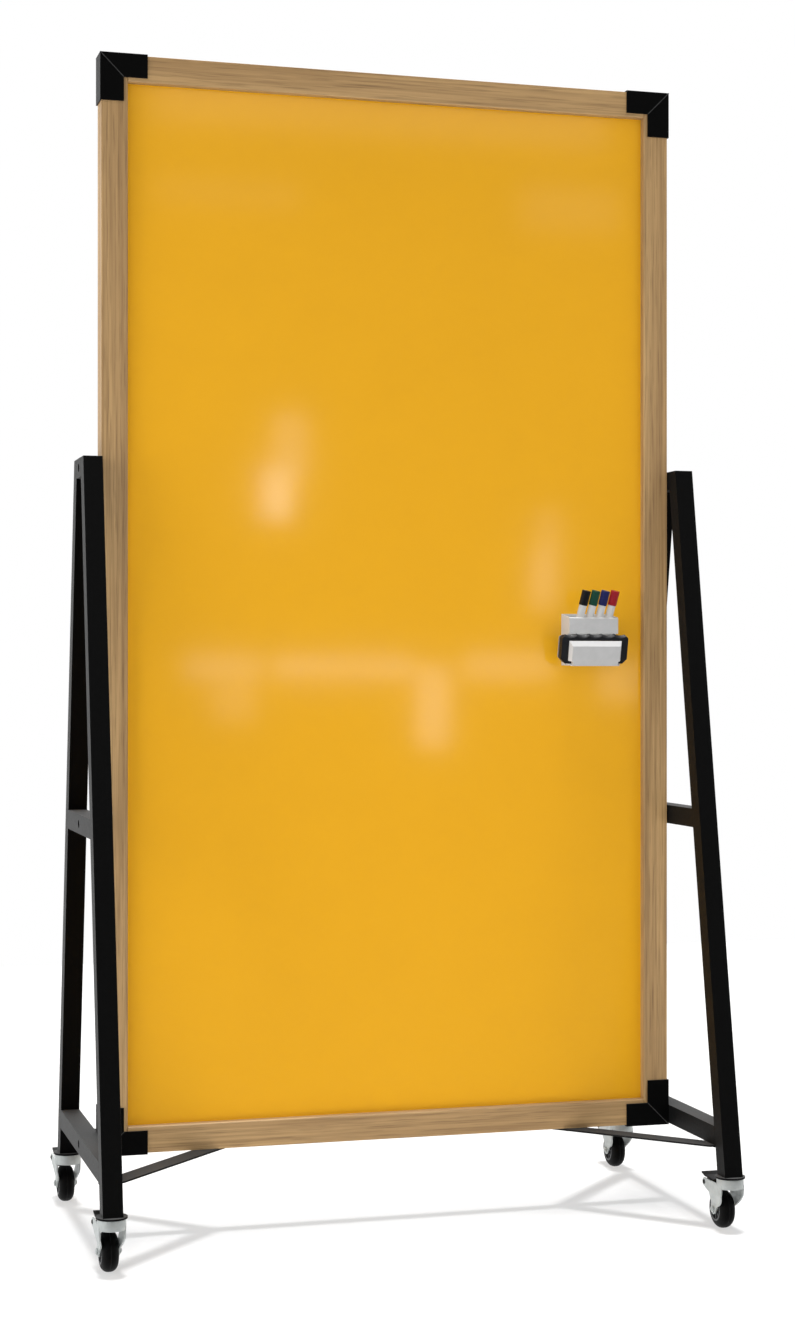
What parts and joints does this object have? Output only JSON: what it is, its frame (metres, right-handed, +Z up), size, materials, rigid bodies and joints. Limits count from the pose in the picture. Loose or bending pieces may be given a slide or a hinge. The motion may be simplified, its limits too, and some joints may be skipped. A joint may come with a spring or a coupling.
{
  "type": "rolling whiteboard",
  "caption": "Portrait writing board in a wooden frame with black corner brackets, held between tube side frames on braked swivel casters, with a magnetic marker and eraser caddy.",
  "frame": {"origin": "middle of the footprint, on the floor under the wheels", "axes": "+Z up along the board's height, +Y from the board's front to its back, +X along its width"},
  "size_m": [1.087, 0.6029, 1.9545],
  "materials": {
    "oak": "clear matt lacquer",
    "core_board": "raw",
    "yellow_enamel": "gloss",
    "black_powder_coat": "fine satin",
    "bolt_steel": "satin",
    "insert_brass": "plain",
    "black_fixings": "satin",
    "zinc": "bright zinc",
    "tyre_rubber": "smooth",
    "hub_plastic": "matt",
    "pedal_plastic": "matt",
    "caddy_plastic": "satin",
    "magnet": "plain",
    "eraser_plastic": "satin",
    "felt": "felt",
    "marker_plastic": "satin",
    "black_cap_plastic": "satin",
    "green_cap_plastic": "satin",
    "blue_cap_plastic": "satin",
    "red_cap_plastic": "satin"
  },
  "bodies": {
    "stand": {"left_stile": "oak", "right_stile": "oak", "top_rail": "oak", "bottom_rail": "oak", "panel_core": "core_board", "front_sheet": "yellow_enamel", "back_sheet": "yellow_enamel", "top_left_bracket": "black_powder_coat", "top_right_bracket": "black_powder_coat", "bottom_left_bracket": "black_powder_coat", "bottom_right_bracket": "black_powder_coat", "left_front_leg": "black_powder_coat", "left_back_leg": "black_powder_coat", "left_top_bar": "black_powder_coat", "left_mid_bar": "black_powder_coat", "left_low_bar": "black_powder_coat", "left_braces": "black_powder_coat", "right_front_leg": "black_powder_coat", "right_back_leg": "black_powder_coat", "right_top_bar": "black_powder_coat", "right_mid_bar": "black_powder_coat", "right_low_bar": "black_powder_coat", "right_braces": "black_powder_coat", "side_bolts": "bolt_steel", "threaded_inserts": "insert_brass", "spacer_washers": "black_fixings", "brace_screws": "black_fixings", "caster_stems": "zinc"},
    "front_left_swivel": {"front_left_fork": "zinc", "front_left_pins": "zinc"},
    "front_left_wheel": {"front_left_tyre": "tyre_rubber", "front_left_hub": "hub_plastic"},
    "front_left_brake": {"front_left_brake_pedal": "pedal_plastic"},
    "front_right_swivel": {"front_right_fork": "zinc", "front_right_pins": "zinc"},
    "front_right_wheel": {"front_right_tyre": "tyre_rubber", "front_right_hub": "hub_plastic"},
    "front_right_brake": {"front_right_brake_pedal": "pedal_plastic"},
    "back_left_swivel": {"back_left_fork": "zinc", "back_left_pins": "zinc"},
    "back_left_wheel": {"back_left_tyre": "tyre_rubber", "back_left_hub": "hub_plastic"},
    "back_left_brake": {"back_left_brake_pedal": "pedal_plastic"},
    "back_right_swivel": {"back_right_fork": "zinc", "back_right_pins": "zinc"},
    "back_right_wheel": {"back_right_tyre": "tyre_rubber", "back_right_hub": "hub_plastic"},
    "back_right_brake": {"back_right_brake_pedal": "pedal_plastic"},
    "caddy": {"marker_caddy": "caddy_plastic", "caddy_magnets": "magnet"},
    "eraser": {"eraser_body": "eraser_plastic", "eraser_felt": "felt"},
    "black_pen": {"black_marker": "marker_plastic"},
    "black_pen_cap": {"black_marker_cap": "black_cap_plastic"},
    "green_pen": {"green_marker": "marker_plastic"},
    "green_pen_cap": {"green_marker_cap": "green_cap_plastic"},
    "blue_pen": {"blue_marker": "marker_plastic"},
    "blue_pen_cap": {"blue_marker_cap": "blue_cap_plastic"},
    "red_pen": {"red_marker": "marker_plastic"},
    "red_pen_cap": {"red_marker_cap": "red_cap_plastic"}
  },
  "joints": [
    {"name": "front_left_swivel_turn", "type": "hinge", "parent": "stand", "child": "front_left_swivel", "pos_m": [-0.5185, -0.2765, 0.082], "axis": [0, 0, 1], "continuous": true},
    {"name": "front_left_wheel_spin", "type": "hinge", "parent": "front_left_swivel", "child": "front_left_wheel", "pos_m": [-0.5185, -0.2445, 0.032], "axis": [1, 0, 0], "continuous": true},
    {"name": "front_left_brake_press", "type": "hinge", "parent": "front_left_swivel", "child": "front_left_brake", "pos_m": [-0.5185, -0.2165, 0.0724], "axis": [-1, 0, 0], "range_deg": [0, 12]},
    {"name": "front_right_swivel_turn", "type": "hinge", "parent": "stand", "child": "front_right_swivel", "pos_m": [0.5185, -0.2765, 0.082], "axis": [0, 0, 1], "continuous": true},
    {"name": "front_right_wheel_spin", "type": "hinge", "parent": "front_right_swivel", "child": "front_right_wheel", "pos_m": [0.5185, -0.2445, 0.032], "axis": [1, 0, 0], "continuous": true},
    {"name": "front_right_brake_press", "type": "hinge", "parent": "front_right_swivel", "child": "front_right_brake", "pos_m": [0.5185, -0.2165, 0.0724], "axis": [-1, 0, 0], "range_deg": [0, 12]},
    {"name": "back_left_swivel_turn", "type": "hinge", "parent": "stand", "child": "back_left_swivel", "pos_m": [-0.5185, 0.2215, 0.082], "axis": [0, 0, 1], "continuous": true},
    {"name": "back_left_wheel_spin", "type": "hinge", "parent": "back_left_swivel", "child": "back_left_wheel", "pos_m": [-0.5185, 0.2535, 0.032], "axis": [1, 0, 0], "continuous": true},
    {"name": "back_left_brake_press", "type": "hinge", "parent": "back_left_swivel", "child": "back_left_brake", "pos_m": [-0.5185, 0.2815, 0.0724], "axis": [-1, 0, 0], "range_deg": [0, 12]},
    {"name": "back_right_swivel_turn", "type": "hinge", "parent": "stand", "child": "back_right_swivel", "pos_m": [0.5185, 0.2215, 0.082], "axis": [0, 0, 1], "continuous": true},
    {"name": "back_right_wheel_spin", "type": "hinge", "parent": "back_right_swivel", "child": "back_right_wheel", "pos_m": [0.5185, 0.2535, 0.032], "axis": [1, 0, 0], "continuous": true},
    {"name": "back_right_brake_press", "type": "hinge", "parent": "back_right_swivel", "child": "back_right_brake", "pos_m": [0.5185, 0.2815, 0.0724], "axis": [-1, 0, 0], "range_deg": [0, 12]},
    {"name": "caddy_pull_off", "type": "slide", "parent": "stand", "child": "caddy", "axis": [0, -1, 0], "range_m": [0, 0.12]},
    {"name": "eraser_slide_out", "type": "slide", "parent": "caddy", "child": "eraser", "axis": [-1, 0, 0], "range_m": [0, 0.14]},
    {"name": "black_pen_lift", "type": "slide", "parent": "caddy", "child": "black_pen", "axis": [0.1805, -0.2146, 0.9599], "range_m": [0, 0.11]},
    {"name": "black_cap_pull", "type": "slide", "parent": "black_pen", "child": "black_pen_cap", "axis": [0.1805, -0.2146, 0.9599], "range_m": [0, 0.035]},
    {"name": "green_pen_lift", "type": "slide", "parent": "caddy", "child": "green_pen", "axis": [0.1805, -0.2146, 0.9599], "range_m": [0, 0.11]},
    {"name": "green_cap_pull", "type": "slide", "parent": "green_pen", "child": "green_pen_cap", "axis": [0.1805, -0.2146, 0.9599], "range_m": [0, 0.035]},
    {"name": "blue_pen_lift", "type": "slide", "parent": "caddy", "child": "blue_pen", "axis": [0.1805, -0.2146, 0.9599], "range_m": [0, 0.11]},
    {"name": "blue_cap_pull", "type": "slide", "parent": "blue_pen", "child": "blue_pen_cap", "axis": [0.1805, -0.2146, 0.9599], "range_m": [0, 0.035]},
    {"name": "red_pen_lift", "type": "slide", "parent": "caddy", "child": "red_pen", "axis": [0.1805, -0.2146, 0.9599], "range_m": [0, 0.11]},
    {"name": "red_cap_pull", "type": "slide", "parent": "red_pen", "child": "red_pen_cap", "axis": [0.1805, -0.2146, 0.9599], "range_m": [0, 0.035]}
  ]
}
